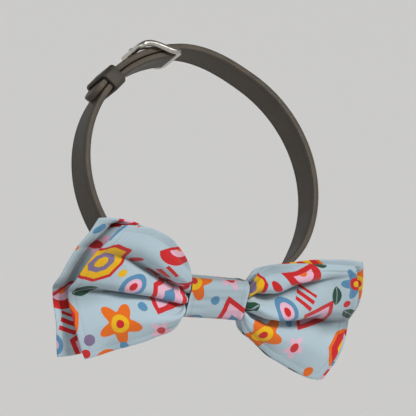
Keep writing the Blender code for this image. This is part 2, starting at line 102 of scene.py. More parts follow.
# The wings, the rear layer and the folds, by the share of the way out from the knot, as in the part
WING_COLUMNS = ("out", "top", "bottom", "cloth", "depth", "upper_lean", "lower_lean")
LEFT_WING = (
    (0.00, 0.088, -0.102, 0.34, 0.000, 0, 0),
    (0.02, 0.128, -0.138, 0.40, -0.007, 0, 0),
    (0.06, 0.203, -0.204, 0.545, -0.025, 0, 0),
    (0.15, 0.266, -0.258, 0.678, -0.047, 2, 2),
    (0.26, 0.324, -0.278, 0.730, -0.057, 4, 4),
    (0.38, 0.380, -0.306, 0.796, -0.053, 6, 6),
    (0.53, 0.420, -0.345, 0.852, -0.037, 9, 8),
    (0.70, 0.446, -0.395, 0.901, -0.013, 12, 10),
    (0.87, 0.447, -0.438, 0.928, 0.007, 13, 12),
    (1.00, 0.438, -0.468, 0.947, 0.020, 13, 12))
RIGHT_WING = (
    (0.00, 0.088, -0.102, 0.34, 0.000, 0, 0),
    (0.02, 0.132, -0.142, 0.405, -0.007, 0, 0),
    (0.06, 0.206, -0.204, 0.543, -0.025, 0, 0),
    (0.15, 0.246, -0.258, 0.676, -0.047, 4, 2),
    (0.26, 0.273, -0.308, 0.761, -0.057, 9, 4),
    (0.38, 0.296, -0.360, 0.838, -0.053, 15, 6),
    (0.53, 0.308, -0.406, 0.867, -0.037, 20, 8),
    (0.70, 0.309, -0.460, 0.870, -0.013, 20, 10),
    (0.87, 0.305, -0.509, 0.881, 0.007, 20, 11),
    (1.00, 0.300, -0.525, 0.875, 0.020, 20, 11))
REAR_COLUMNS = ("out", "behind", "drop", "lower", "cloth")
REAR_LAYER = (
    (0.00, 0.000, 0.000, 0.000, 0.86),
    (0.06, 0.023, 0.004, 0.000, 0.79),
    (0.15, 0.047, 0.026, 0.006, 0.805),
    (0.26, 0.053, 0.036, 0.025, 0.861),
    (0.38, 0.055, 0.030, 0.040, 0.924),
    (0.53, 0.055, 0.015, 0.050, 0.984),
    (0.70, 0.046, 0.006, 0.054, 1.028),
    (0.87, 0.041, 0.003, 0.052, 1.041),
    (1.00, 0.038, 0.005, 0.040, 1.040))
FOLD_COLUMNS = ("out", "top_crest", "upper_hollow", "middle_crest", "lower_hollow", "bottom_crest")
LEFT_FOLDS = (
    (0.00, 0.66, 0.31, -0.03, -0.37, -0.69),
    (0.15, 0.63, 0.19, -0.06, -0.26, -0.62),
    (0.35, 0.64, 0.24, -0.05, -0.26, -0.64),
    (0.60, 0.70, 0.39, 0.07, -0.21, -0.61),
    (1.00, 0.79, 0.565, 0.19, -0.13, -0.56))
RIGHT_FOLDS = (
    (0.00, 0.66, 0.31, -0.03, -0.37, -0.69),
    (0.15, 0.61, 0.24, -0.11, -0.39, -0.71),
    (0.35, 0.76, 0.505, 0.06, -0.28, -0.65),
    (0.60, 0.865, 0.695, 0.20, -0.18, -0.60),
    (1.00, 0.94, 0.85, 0.335, -0.09, -0.545))
SLOPE_COLUMNS = ("out", "over_top", "into_upper", "out_upper", "into_lower", "out_lower", "under_bottom")
SLOPES = (
    (0.00, 0.8, 0.9, 1.0, 1.0, 1.0, 0.8),
    (0.12, 0.7, 0.9, 1.0, 1.1, 1.0, 0.7),
    (0.35, 0.7, 0.9, 0.9, 1.4, 1.0, 0.6),
    (0.60, 0.5, 0.6, 0.5, 1.2, 0.9, 0.4),
    (1.00, 0.4, 0.3, 0.2, 0.9, 0.8, 0.3))
FRONT_LEFT_CORNERS = (0.200, 0.175)
FRONT_RIGHT_CORNERS = (0.133, 0.142)
REAR_LEFT_CORNERS = (0.142, 0.092)
REAR_RIGHT_CORNERS = (0.108, 0.125)
CORNER_POWER = 1.8

# Fineness of the cloth: sections along a wing, closer together near the knot, steps between a crest and
# a hollow, steps of working inside each of these, lines that cross the knot, and how much a normal
# takes in of its neighbours
SECTIONS = 84
SECTION_POWER = 1.25
STEPS = 13
FINE = 4
KNOT_LINES = 10
NORMAL_BLEND = 0.25

# The cloth's edges: over how far the rim rounds off, its half thickness at the very edge, where the lines
# of points are added that round it, and how far the outermost lines lie apart without them
RIM_ROUND = 0.00045
RIM_HALF = 0.00006
RIM = (0.00004, 0.00012, 0.00024, 0.00040)
WING_EDGE_STEP = 0.0006
# The pressed seams: distance from the edge, width, and the share of the thickness that is pressed away.
# Outside the wings' seam each side of the hem stands up by HEM_RISE, over a length from the seam and
# a length from the edge.
WING_SEAM = (0.0028, 0.00036, 0.50)
BAND_SEAM = (0.0022, 0.00028, 0.22)
HEM_RISE = 0.00006
HEM_FROM_SEAM = 0.0006
HEM_FROM_EDGE = 0.0008

# The crisp creases that run out from the knot: how deep the crease is pressed in and how far the cloth
# above it bulges over it, in metres, by the share of the way out
CREASE_COLUMNS = ("out", "low_depth", "low_bulge", "high_depth", "high_bulge")
LEFT_CREASES = (
    (0.00, 0.0002, 0.0001, 0.0002, 0.0001),
    (0.05, 0.0013, 0.0003, 0.0012, 0.0002),
    (0.15, 0.0034, 0.0007, 0.0029, 0.0005),
    (0.35, 0.0037, 0.0008, 0.0032, 0.0006),
    (0.60, 0.0028, 0.0006, 0.0021, 0.0004),
    (0.80, 0.0015, 0.0004, 0.0009, 0.0002),
    (1.00, 0.0005, 0.0001, 0.0001, 0.0000))
RIGHT_CREASES = (
    (0.00, 0.0002, 0.0001, 0.0002, 0.0001),
    (0.05, 0.0012, 0.0009, 0.0010, 0.0006),
    (0.15, 0.0027, 0.0022, 0.0022, 0.0016),
    (0.35, 0.0026, 0.0024, 0.0021, 0.0018),
    (0.60, 0.0017, 0.0015, 0.0010, 0.0010),
    (0.80, 0.0008, 0.0008, 0.0004, 0.0004),
    (1.00, 0.0002, 0.0002, 0.0001, 0.0001))
CREASE_WIDTH = 0.0012
BULGE_WIDTH = 0.0030
# In the left wing the cloth above a crease slopes back into it, and the lip below stands in front
SLOPE_WIDTH = 0.0036
LIP_WIDTH = 0.0009
LIP_RISE = 0.0009
# How deep the rear layer dips behind the upper left end of the front one, how far inside that end and
# over what width
HOLLOW_BEHIND = 0.0045
HOLLOW_INSIDE = 0.0032
HOLLOW_WIDTH = 0.0026
# How far the front layer's ends stand out, and over what length
EDGE_LIFT = 0.0006
EDGE_LIFT_REACH = 0.012
# How far the gathered cloth swells forward beyond the knot band, over what length it rises, and where
# and over what length it falls again. Then the height of its fine pleats, and the shares of the way out
# over which they rise and fade.
SWELL = 0.0017
SWELL_RISE = 0.0007
SWELL_HOLD = 0.0005
SWELL_FALL = 0.0050
PLEAT_HEIGHT = 0.00028
PLEAT_START = 0.06
PLEAT_FADE = 0.30

# The way back that is looked along for the next piece, how near its surface the middle of the cloth may
# come, and the shortfall that is let be
REACH_BEHIND = 0.03
CLEAR_OF_STRAP = 0.00065
CLEAR_OF_REAR = 0.00115
SHORTFALL = 0.00002

# Gentle waves: size, turns along, turns across, start
SOFT_WAVES = ((0.00016, 170, 60, 0.4), (0.00013, -110, 190, 1.9), (0.00010, 260, -150, 3.1),
              (0.00007, 330, 310, 5.0), (0.00006, -420, 240, 0.9))
BAND_WAVES = ((0.00010, 7, 60, 0.0), (0.00008, 11, -130, 1.0), (0.00006, 17, 210, 2.0))

# The knot band: lines of points along it, steps in its corners and sides, how far and over what length
# its ends turn in, and over what length its waves fade towards them
BAND_LINES = 61
BAND_CORNER_STEPS = 10
BAND_SIDE_STEPS = 22
BAND_TURN = 0.00022
BAND_TURN_REACH = 0.0014
BAND_WAVE_REACH = 0.002

# The leather: radius of its edges, the creased line along each side of the strap, where it twists from
# the knot's plane into the loop's, where the tongue climbs over the base, its sections, and where those
# of its rounded end lie
LEATHER_EDGE = 0.0006
KEEPER_EDGE = 0.00045
EDGE_STEPS = 4
GROOVE_PLACE = 0.0050
GROOVE_WIDTH = 0.00022
GROOVE_DEPTH = 0.00012
TWIST_START = math.radians(14.0)
TWIST_LENGTH = math.radians(50.0)
CLIMB_START = math.radians(42.0)
CLIMB_LENGTH = math.radians(38.0)
STRAP_STATIONS = 300
END_SHARES = (0.2, 0.4, 0.55, 0.68, 0.78, 0.86, 0.92, 0.965, 0.99)

# The buckle's wire and pin
WIRE_SIDES = 20
WIRE_SHARE = 0.995
PIN_RINGS = 14
PIN_SIDES = 12
PIN_RADIUS = 0.00095
PIN_TAPER = 0.0002
PIN_TIP = 0.55
PIN_RISE = 0.0008
PIN_FALL = 0.0009


def ease(value):
    value = np.clip(value, 0.0, 1.0)
    return value * value * (3.0 - 2.0 * value)


def column(table, names, name, at):
    """Value of a table's column at a place between its rows, on a smooth curve that never overshoots."""
    place = np.array([row[0] for row in table], float)
    value = np.array([row[names.index(name)] for row in table], float)
    step = np.diff(place)
    rise = np.diff(value) / step
    slope = np.zeros(len(place))
    slope[0] = rise[0]
    slope[-1] = rise[-1]
    for i in range(1, len(place) - 1):
        if rise[i - 1] * rise[i] > 0:
            first = 2 * step[i] + step[i - 1]
            second = step[i] + 2 * step[i - 1]
            slope[i] = (first + second) / (first / rise[i - 1] + second / rise[i])
    i = int(np.clip(np.searchsorted(place, at) - 1, 0, len(step) - 1))
    u = (at - place[i]) / step[i]
    return ((1 + 2 * u) * (1 - u) ** 2 * value[i] + u * (1 - u) ** 2 * step[i] * slope[i]
            + u * u * (3 - 2 * u) * value[i + 1] + u * u * (u - 1) * step[i] * slope[i + 1])


def cross_section(wing, folds, out, rear):
    """Cloth shares, depth, height and cloth width of one section, as the part works them out."""
    top = column(wing, WING_COLUMNS, "top", out) * BOW_HEIGHT
    bottom = column(wing, WING_COLUMNS, "bottom", out) * BOW_HEIGHT
    cloth = column(wing, WING_COLUMNS, "cloth", out) * BOW_HEIGHT
    middle = FRONT_MIDDLE + column(wing, WING_COLUMNS, "depth", out) * BOW_HEIGHT
    if rear:
        top -= column(REAR_LAYER, REAR_COLUMNS, "drop", out) * BOW_HEIGHT
        bottom -= column(REAR_LAYER, REAR_COLUMNS, "lower", out) * BOW_HEIGHT
        middle += REAR_MIDDLE - FRONT_MIDDLE + column(REAR_LAYER, REAR_COLUMNS, "behind", out) * BOW_HEIGHT
        cloth *= column(REAR_LAYER, REAR_COLUMNS, "cloth", out)
    turns = [1.0] + [column(folds, FOLD_COLUMNS, name, out) for name in FOLD_COLUMNS[1:]] + [-1.0]
    steep = [column(SLOPES, SLOPE_COLUMNS, name, out) for name in SLOPE_COLUMNS[1:]]
    upper = math.radians(column(wing, WING_COLUMNS, "upper_lean", out))
    lower = math.radians(column(wing, WING_COLUMNS, "lower_lean", out))
    count = STEPS * FINE
    across = np.concatenate([np.linspace(turns[k], turns[k + 1], count + 1)[:count] for k in range(6)]
                            + [np.array([-1.0])])
    # The wave between a crest and a hollow grows crisper and fuller on the way out
    tilt = np.zeros(len(across))
    crisp = 1 - 0.25 * ease((out - 0.05) / 0.3)
    full = 1 - 0.15 * ease(out / 0.3)
    for k in range(6):
        share = np.linspace(0.0, 1.0, count + 1)[:count]
        if k in (1, 3):
            share = 1 - (1 - share) ** crisp
        if k in (2, 4):
            share = share ** crisp
        wave = np.abs(np.sin(math.pi * share)) ** full
        tilt[k * count:(k + 1) * count] = (1 if k % 2 == 0 else -1) * steep[k] * wave
    hollow = turns[4]
    above = np.sin(math.pi * np.clip((across - hollow) / (1 - hollow), 0, 1) ** 0.8)
    below = np.sin(math.pi * np.clip((hollow - across) / (1 + hollow), 0, 1) ** 0.8)
    lean = np.where(across > hollow, -above * upper, below * lower)
    span = -np.diff(across) * cloth / 2
    half_lean = (lean[1:] + lean[:-1]) / 2
    half_tilt = (tilt[1:] + tilt[:-1]) / 2
    # Halving finds how deep the folds are when all the cloth fits between the top and the bottom edge
    low, high = 0.0, 3.0
    for _ in range(40):
        depth = (low + high) / 2
        if np.sum(np.cos(depth * half_tilt + half_lean) * span) > top - bottom:
            low = depth
        else:
            high = depth
    angle = low * half_tilt + half_lean
    stretch = (top - bottom) / np.sum(np.cos(angle) * span)
    y = np.concatenate([[0.0], np.cumsum(-np.sin(angle) * span * stretch)])
    z = top - np.concatenate([[0.0], np.cumsum(np.cos(angle) * span * stretch)])
    y += middle - (y.max() + y.min()) / 2
    z -= BAND_SINK * y / STRAP_MIDDLE * (1 - ease(out / 0.3))
    keep = slice(0, None, FINE)
    return across[keep], y[keep], z[keep], cloth


def bow_panel(rear):
    """Middle surface of one panel, its share of the way out and its place across the cloth."""
    left = (REAR_LEFT, REAR_LEFT_CORNERS) if rear else (FRONT_LEFT, FRONT_LEFT_CORNERS)
    right = (REAR_RIGHT, REAR_RIGHT_CORNERS) if rear else (FRONT_RIGHT, FRONT_RIGHT_CORNERS)
    halves = []
    for side, wing, folds, (reach, corners) in ((-1, LEFT_WING, LEFT_FOLDS, left),
                                                (1, RIGHT_WING, RIGHT_FOLDS, right)):
        points, outs, shares = [], [], []
        for out in np.linspace(0.0, 1.0, SECTIONS + 1) ** SECTION_POWER:
            across, y, z, cloth = cross_section(wing, folds, out, rear)
            short = np.where(across > 0, corners[0], corners[1]) * BOW_HEIGHT * np.abs(across) ** CORNER_POWER
            x = KNOT_HALF + GAP + (reach - short - KNOT_HALF - GAP) * out
            points.append(np.stack([side * x, y, z], axis=1))
            outs.append(np.full(len(y), out * side))
            shares.append(across * cloth / 2)
        halves.append((points, outs, shares))
    (left_points, left_outs, left_shares), (right_points, right_outs, right_shares) = halves
    blend = np.linspace(0, 1, KNOT_LINES + 2)[1:-1]
    points = np.array(left_points[::-1]
                      + [left_points[0] * (1 - b) + right_points[0] * b for b in blend] + right_points)
    outs = np.array(left_outs[::-1] + [np.zeros(len(left_outs[0]))] * len(blend) + right_outs)
    shares = np.array(left_shares[::-1] + [left_shares[0]] * len(blend) + right_shares)
    return points, outs, shares


def beside(wide):
    """Sum of the four neighbours of each point of a grid that was padded by one."""
    return wide[:-2, 1:-1] + wide[2:, 1:-1] + wide[1:-1, :-2] + wide[1:-1, 2:]


def cloth_normals(grid, closed=False):
    """Direction square to the grid at each point, blended twice with its neighbours' directions."""
    along = np.gradient(grid, axis=0)
    across = np.gradient(grid, axis=1)
    if closed:
        across = np.roll(grid, -1, axis=1) - np.roll(grid, 1, axis=1)
    normal = np.cross(along, across)
    normal /= np.maximum(np.linalg.norm(normal, axis=2), 1e-12)[:, :, None]
    for _ in range(2):
        wide = np.pad(normal, ((1, 1), (0, 0), (0, 0)), mode="edge")
        wide = np.pad(wide, ((0, 0), (1, 1), (0, 0)), mode="wrap" if closed else "edge")
        normal = normal + NORMAL_BLEND * beside(wide)
        normal /= np.linalg.norm(normal, axis=2)[:, :, None]
    return normal


def with_edges(arrays, axis, spacing):
    """Adds lines of points close to both ends of an axis, at the distances in RIM, for a rounded rim."""
    shares = [distance / spacing for distance in RIM]
    result = []
    for array in arrays:
        first, second, last_but_one, last = (np.take(array, [place], axis=axis) for place in (0, 1, -2, -1))
        start = [first] + [first + (second - first) * share for share in shares]
        middle = np.take(array, range(1, array.shape[axis] - 1), axis=axis)
        end = [last + (last_but_one - last) * share for share in shares[::-1]] + [last]
        result.append(np.concatenate(start + [middle] + end, axis=axis))
    return result


def half_thickness(edge, seam):
    """Half the cloth's thickness at a distance from its edge, with a rounded rim and a pressed seam."""
    place, width, depth = seam
    half = 0.5 * CLOTH * np.sqrt(1 - (1 - np.clip(edge / RIM_ROUND, 0, 1)) ** 2)
    return np.maximum(half, RIM_HALF) * (1 - depth * np.exp(-((edge - place) / width) ** 2))


def waves(u, v, table):
    """Sum of gentle waves over the cloth."""
    total = np.zeros_like(u)
    for size, along, across, start in table:
        total += size * np.sin(along * u + across * v + start)
    return total


def grid_quads(n, m, offset=0, flip=False, closed=False, ring=False):
    """Faces of a grid of n by m points. closed joins its two sides, and ring its two ends as well."""
    i = np.arange(n if ring else n - 1)[:, None]
    j = np.arange(m if closed or ring else m - 1)[None, :]
    after = (i + 1) % n * m
    k = (j + 1) % m
    quads = np.stack([i * m + j, after + j, after + k, i * m + k], axis=-1).reshape(-1, 4) + offset
    return quads[:, ::-1] if flip else quads


def make_mesh(name, points, quads, maps=None, others=()):
    """Closed mesh in the scene, all faces outward. maps gives, for each named map, each point's place."""
    mesh = bpy.data.meshes.new(name)
    faces = quads.tolist() + [list(face) for face in others]
    mesh.from_pydata(np.asarray(points, float).reshape(-1, 3).tolist(), [], faces)
    mesh.update()
    index = np.zeros(len(mesh.loops), np.int32)
    mesh.loops.foreach_get("vertex_index", index)
    for label, values in (maps or {}).items():
        layer = mesh.uv_layers.new(name=label)
        layer.data.foreach_set("uv", np.asarray(values, np.float32).reshape(-1, 2)[index].ravel())
    mesh.shade_smooth()
    work = bmesh.new()
    work.from_mesh(mesh)
    bmesh.ops.recalc_face_normals(work, faces=work.faces[:])
    work.to_mesh(mesh)
    work.free()
    obj = bpy.data.objects.new(name, mesh)
    bpy.context.scene.collection.objects.link(obj)
    return obj


def cloth_solid(name, grid, half, normal, uv, edge, closed=False, deep=None):
    """Closed cloth of half thickness half on both sides of a grid. The map depth holds how deep a point
    lies in a hollow, as seen from its own side, and its distance from the edge, both in mm. The material
    paints shade in the hollows and light on the crests and at the edge from them."""
    n, m = grid.shape[:2]
    count = n * m
    quads = [grid_quads(n, m, 0, False, closed), grid_quads(n, m, count, True, closed)]
    index = np.arange(count).reshape(n, m)
    rims = [(index[0, :], False, closed), (index[-1, :], True, closed)]
    if not closed:
        rims += [(index[:, 0], True, False), (index[:, -1], False, False)]
    for line, flip, round_trip in rims:
        before = line if round_trip else line[:-1]
        after = np.roll(line, -1) if round_trip else line[1:]
        rim = np.stack([before, after, after + count, before + count], axis=1)
        quads.append(rim[:, ::-1] if flip else rim)
    offset = normal * half[:, :, None]
    points = np.concatenate([(grid + offset).reshape(-1, 3), (grid - offset).reshape(-1, 3)]) - LOOP_CENTRE
    deep = np.zeros((n, m)) if deep is None else deep
    facing = (normal[:, :, 1] * deep).reshape(-1)
    depth = np.stack([np.concatenate([-facing, facing]), np.tile(edge.reshape(-1) * 1000.0, 2)], axis=1)
    maps = {"cloth": np.concatenate([uv, uv]), "depth": depth}
    return make_mesh(name, points, np.concatenate(quads), maps)


def hollows(grid):
    """How deep each point lies in a hollow, seen from the front: the depth less its mean nearby, in mm. It
    sets the cloth's painted shade in hollows and painted light on crests.
    """
    depth = grid[:, :, 1]
    for _ in range(60):
        depth = beside(np.pad(depth, 1, mode="edge")) / 4
    return (grid[:, :, 1] - depth) * 1000.0


def brought_clear(grid, tree, clear):
    """The grid with the points that lie within clear of the piece in tree brought forward."""
    for _ in range(12):
        near = np.array([[tree.find_nearest(Vector(point))[3] for point in row] for row in grid])
        short = np.clip(clear - near, 0.0, None)
        if short.max() < SHORTFALL:
            break
        for _ in range(3):
            short = np.maximum(short, beside(np.pad(short, 1, mode="edge")) / 4)
        grid[:, :, 1] -= short * 1.2
    return grid


def room_behind(grid, tree, clear):
    """How far each point can go back before it is within clear of the piece in tree."""
    room = np.full(grid.shape[:2], REACH_BEHIND)
    for i, row in enumerate(grid):
        for j, point in enumerate(row):
            distance = tree.ray_cast(Vector(point), Vector((0.0, 1.0, 0.0)), REACH_BEHIND)[3]
            if distance is not None:
                room[i, j] = max(distance - clear, 0.0)
    return room


def pressed_creases(v, outs):
    """How far the crisp creases press each point back, less how far the cloth beside them bulges out."""
    push = np.zeros_like(v)
    for i, row in enumerate(v):
        out = float(np.abs(outs[i]).mean())
        on_left = outs[i].mean() < 0
        folds, creases = (LEFT_FOLDS, LEFT_CREASES) if on_left else (RIGHT_FOLDS, RIGHT_CREASES)
        reach = max(float(row.max()), 1e-6)
        for line, depth, bulge in (("lower_hollow", "low_depth", "low_bulge"),
                                   ("upper_hollow", "high_depth", "high_bulge")):
            away = row - column(folds, FOLD_COLUMNS, line, out) * reach
            if on_left:
                away -= LIP_RISE
                width = np.where(away > 0, SLOPE_WIDTH, LIP_WIDTH)
                over = np.clip(-away / BULGE_WIDTH, 0, None)
            else:
                width = CREASE_WIDTH
                over = np.clip(away / BULGE_WIDTH, 0, None)
            pressed = column(creases, CREASE_COLUMNS, depth, out) * np.exp(-(away / width) ** 2)
            raised = column(creases, CREASE_COLUMNS, bulge, out) * over * np.exp(1 - over)
            push[i] += pressed - raised
    return push


def dip_behind_front(grid, outs, across):
    """How far the rear layer dips back behind the front one's upper left end."""
    front_end = FRONT_LEFT - FRONT_LEFT_CORNERS[0] * BOW_HEIGHT * np.abs(across) ** CORNER_POWER
    inside = front_end + grid[:, :, 0]
    upper = ease((across + 0.25) / 0.4) * ease((1.0 - across) / 0.12) * (outs < 0)
    return HOLLOW_BEHIND * np.exp(-((inside - HOLLOW_INSIDE) / HOLLOW_WIDTH) ** 2) * upper


def front_lift(grid, outs):
    """How far the front layer stands forward at its ends and where it comes out of the knot band."""
    inward = np.linalg.norm(grid - np.where(outs[:, :, None] < 0, grid[:1], grid[-1:]), axis=2)
    beyond = np.abs(grid[:, :, 0]) - KNOT_HALF - GAP
    swell = SWELL * ease(beyond / SWELL_RISE) * (1 - ease((beyond - SWELL_HOLD) / SWELL_FALL))
    return EDGE_LIFT * ease((EDGE_LIFT_REACH - inward) / EDGE_LIFT_REACH) + swell


def bow_cloth(name, rear, seed, behind, clear):
    """One bow layer, the area and length of its cloth laid flat, and its middle surface to look up."""
    grid, outs, shares = bow_panel(rear)
    step = np.linalg.norm(np.diff(grid, axis=0), axis=2)
    middle = grid.shape[0] // 2
    along = np.concatenate([np.zeros((1, grid.shape[1])), np.cumsum(step, axis=0)])
    along -= along[middle:middle + 1]
    uv = np.stack([along, shares], axis=2)
    for axis in (1, 0):
        grid, outs, uv = with_edges((grid, outs, uv), axis, WING_EDGE_STEP)
    u = uv[:, :, 0]
    v = uv[:, :, 1]
    edge = np.min([np.linalg.norm(grid - line, axis=2)
                   for line in (grid[:, :1], grid[:, -1:], grid[:1], grid[-1:])], axis=0)
    half = half_thickness(edge, WING_SEAM)
    half += HEM_RISE * ease((WING_SEAM[0] - edge) / HEM_FROM_SEAM) * ease(edge / HEM_FROM_EDGE)
    across = v / np.maximum(np.abs(v).max(axis=1, keepdims=True), 1e-6)
    push = pressed_creases(v, outs)
    push += dip_behind_front(grid, outs, across) if rear else -front_lift(grid, outs)
    grid[:, :, 1] += np.minimum(push, room_behind(grid, behind, clear))
    # Fine pleats at the knot and gentle waves further out, square to the cloth
    far = np.abs(outs)
    gathers = np.exp(-far / PLEAT_FADE) * ease(far / PLEAT_START)
    pleats = (np.sin(23.0 * across + 1.1 * seed) + 0.6 * np.sin(37.0 * across + 2.0 + seed)) * gathers
    move = PLEAT_HEIGHT * pleats + waves(u + 0.03 * seed, v, SOFT_WAVES) * ease((far - 0.02) / 0.12)
    grid = brought_clear(grid + cloth_normals(grid) * move[:, :, None], behind, clear)
    width = v.max(axis=1) - v.min(axis=1)
    length = np.concatenate([[0.0], np.cumsum(np.abs(np.diff(u.mean(axis=1))))])
    cut = float(np.sum((width[1:] + width[:-1]) / 2 * np.diff(length)))
    middle_tree = BVHTree.FromPolygons(grid.reshape(-1, 3).tolist(), grid_quads(*grid.shape[:2]).tolist())
    piece = cloth_solid(name, grid, half, cloth_normals(grid), uv, edge, False, hollows(grid))
    return piece, cut, float(length[-1]), middle_tree


def corner_arc(centre, radius, start, sweep, steps):
    """Points of an arc round centre, from the angle start on through sweep."""
    turns = [start + sweep * step / steps for step in range(steps + 1)]
    return [np.array(centre) + radius * np.array([math.cos(turn), math.sin(turn)]) for turn in turns]


def box_arcs(left, right, bottom, top, radius, steps):
    """The four rounded corners of a box, from its upper right one on, against the clock."""
    places = ((right - radius, top - radius), (left + radius, top - radius),
              (left + radius, bottom + radius), (right - radius, bottom + radius))
    return [corner_arc(place, radius, math.pi * i / 2, math.pi / 2, steps) for i, place in enumerate(places)]


def joined_arcs(arcs, long_steps=1, short_steps=1):
    """Closed outline of four arcs and the straight runs between them, each cut into its steps."""
    outline = []
    for i, arc in enumerate(arcs):
        outline += arc
        first = arc[-1]
        second = arcs[(i + 1) % 4][0]
        for share in np.linspace(0, 1, (short_steps if i % 2 else long_steps) + 1)[1:-1]:
            outline.append(first + (second - first) * share)
    return np.array(outline)


def bar_outline(width, thick, radius, long_steps=1):
    """Outline of a flat bar with rounded edges, as (across, outward) points."""
    return joined_arcs(box_arcs(-width / 2, width / 2, -thick / 2, thick / 2, radius, EDGE_STEPS), long_steps)


def band_outline(inset):
    """Outline of the knot band, inset from its outer face, as (depth, height) points."""
    front = BAND_FRONT_HEIGHT / 2 - CLOTH
    back = STRAP_WIDTH / 2 + GAP
    fall = STRAP_RISE - back - (BAND_RISE - front)
    reach = (BAND_DEPTH - 2 * CLOTH) / (STRAP_MIDDLE - STRAP_THICK / 2 - GAP - CLOTH)
    corners = ((CLOTH, BAND_RISE + front, BAND_FRONT_ROUND),
               (CLOTH, BAND_RISE - front, BAND_FRONT_ROUND),
               (BAND_DEPTH - CLOTH, BAND_RISE - front + fall * reach, BAND_BACK_ROUND),
               (BAND_DEPTH - CLOTH, STRAP_RISE + back, BAND_BACK_ROUND))
    arcs = []
    for i in range(4):
        here = np.array(corners[i][:2])
        before = np.array(corners[i - 1][:2]) - here
        after = np.array(corners[(i + 1) % 4][:2]) - here
        before /= np.linalg.norm(before)
        after /= np.linalg.norm(after)
        half_angle = math.acos(float(np.dot(before, after))) / 2
        inward = (before + after) / np.linalg.norm(before + after)
        middle = here + inward * corners[i][2] / math.sin(half_angle)
        start = math.atan2(-before[0], before[1]) + math.pi
        arcs.append(corner_arc(middle, corners[i][2] + CLOTH - inset, start, math.pi - 2 * half_angle,
                               BAND_CORNER_STEPS))
    return joined_arcs(arcs, BAND_SIDE_STEPS, BAND_SIDE_STEPS)


def knot_cloth():
    """The knot band, and the length of its cloth round the middle of its wall."""
    outline = band_outline(CLOTH / 2)
    x = np.linspace(-KNOT_HALF, KNOT_HALF, BAND_LINES)
    around = np.linalg.norm(np.roll(outline, -1, axis=0) - outline, axis=1)
    length = np.concatenate([[0.0], np.cumsum(around)[:-1]])
    total = around.sum()
    grid = np.zeros((BAND_LINES, len(outline), 3))
    grid[:, :, 0] = x[:, None]
    grid[:, :, 1:] = outline[None, :, :]
    uv = np.zeros((BAND_LINES, len(outline), 2))
    uv[:, :, 0] = x[:, None]
    uv[:, :, 1] = length[None, :]
    grid, uv = with_edges((grid, uv), 0, BAND_WIDTH / (BAND_LINES - 1))
    normal = cloth_normals(grid, True)
    if normal[len(grid) // 2, 0, 1] > 0:
        normal = -normal
    along = grid[:, :, 0]
    edge = KNOT_HALF - np.abs(along)
    half = half_thickness(edge, BAND_SEAM)
    swell = waves(uv[:, :, 1] / total * 2 * math.pi, along, BAND_WAVES)
    # The ends turn in towards the folds that they hold
    turned = (0.5 * CLOTH - half) * 0.9 + BAND_TURN * (1 - ease(edge / BAND_TURN_REACH))
    grid = grid + normal * (swell * (0.3 + 0.7 * ease(edge / BAND_WAVE_REACH)) - turned)[:, :, None]
    return cloth_solid("knot_band_cloth", grid, half, normal, uv, edge, True), total


def strap_line(angle, rise=0.0):
    """Point on the middle of the leather at an angle round the neck from the knot, rise further out."""
    radius = LOOP_RADIUS + rise
    x = radius * np.sin(angle)
    forward = radius * np.cos(angle)
    near = (1 - ease((np.abs(x) - FLAT_HALF) / FLAT_BLEND)) * (np.cos(angle) > 0)
    forward = forward * (1 - near) + (LOOP_RADIUS - FRONT_FLAT) * near
    back = LOOP_RADIUS - FRONT_FLAT - forward
    return np.array([x,
                     STRAP_MIDDLE + back * math.cos(LOOP_LEAN),
                     STRAP_RISE + back * math.sin(LOOP_LEAN)])


def strap_frame(angle, rise=0.0):
    """Middle point, direction across and direction outwards of the leather."""
    step = 1e-4
    along = strap_line(angle + step, rise) - strap_line(angle - step, rise)
    along /= np.linalg.norm(along)
    folded = abs((angle + math.pi) % (2 * math.pi) - math.pi)
    lean = LOOP_LEAN * ease((folded - TWIST_START) / TWIST_LENGTH)
    across = np.array([0.0, -math.sin(lean), math.cos(lean)])
    across -= along * np.dot(across, along)
    across /= np.linalg.norm(across)
    return strap_line(angle, rise), across, np.cross(along, across)


def layer_rise(angle):
    """How far out the leather lies where the tongue climbs over the base layer."""
    return LAYER * ease((angle - BASE_END - 2 * math.pi + CLIMB_START) / CLIMB_LENGTH)


def strap_leather():
    """The strap from the base layer's end round the neck to the tongue's rounded tip."""
    reach = 0.5 * STRAP_WIDTH / LOOP_RADIUS
    stations = [(angle, 1.0) for angle in np.linspace(BASE_END, TONGUE_END - reach, STRAP_STATIONS)]
    stations += [(TONGUE_END - reach * (1 - share), math.sqrt(1 - share * share)) for share in END_SHARES]
    profile = bar_outline(STRAP_WIDTH, STRAP_THICK, LEATHER_EDGE, 25)
    groove = GROOVE_DEPTH * np.exp(-((np.abs(profile[:, 0]) - GROOVE_PLACE) / GROOVE_WIDTH) ** 2)
    profile[:, 1] -= np.copysign(groove, profile[:, 1])
    points, uv = [], []
    for angle, width in stations:
        middle, across, outward = strap_frame(angle, layer_rise(angle))
        for a, b in profile:
            points.append(middle + across * (a * width) + outward * b - LOOP_CENTRE)
            uv.append((angle * LOOP_RADIUS, a))
    n, m = len(stations), len(profile)
    caps = [range(m), range(n * m - 1, (n - 1) * m - 1, -1)]
    obj = make_mesh("strap_leather", points, grid_quads(n, m, closed=True), {"cloth": uv}, caps)
    obj.data.set_sharp_from_angle(angle=math.radians(50))
    return obj


def at_back(along_base, across_share, height):
    """Point at the back of the neck: past the base layer's end, across the strap and out from it."""
    middle, across, outward = strap_frame(BASE_END + 2 * math.pi + along_base / LOOP_RADIUS)
    return middle + across * across_share + outward * height - LOOP_CENTRE


